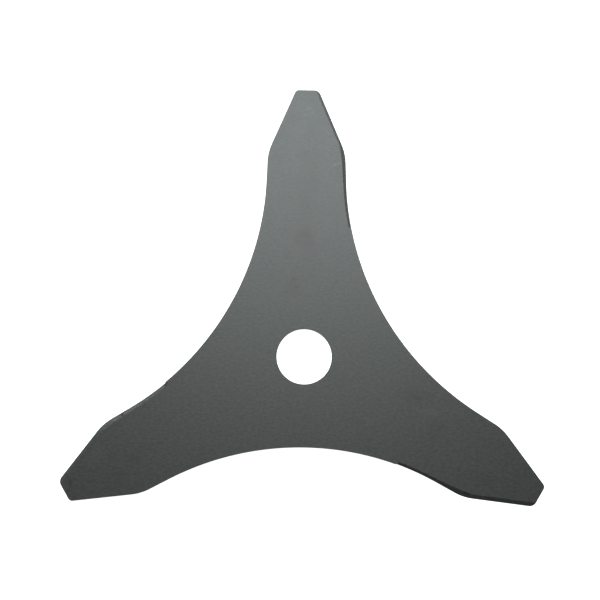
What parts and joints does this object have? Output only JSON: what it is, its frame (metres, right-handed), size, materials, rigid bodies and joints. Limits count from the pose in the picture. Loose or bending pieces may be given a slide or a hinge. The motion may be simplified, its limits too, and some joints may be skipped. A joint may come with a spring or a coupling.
{
  "type": "brush cutter blade",
  "caption": "Flat steel brush cutter blade: pointed teeth around a round arbor bore, each tooth ground to a bevel along its edges, painted satin grey.",
  "frame": {"origin": "on the axis of the arbor bore, at half the plate's thickness", "axes": "+Z out of the face that the picture shows, along the bore's axis; +Y along the tooth at the top of the picture; +X to the picture's right"},
  "size_m": [0.2208, 0.192, 0.0016],
  "materials": {
    "satin_paint": "dark grey satin paint on steel plate"
  },
  "bodies": {
    "root": {"blade": "satin_paint"}
  },
  "joints": []
}
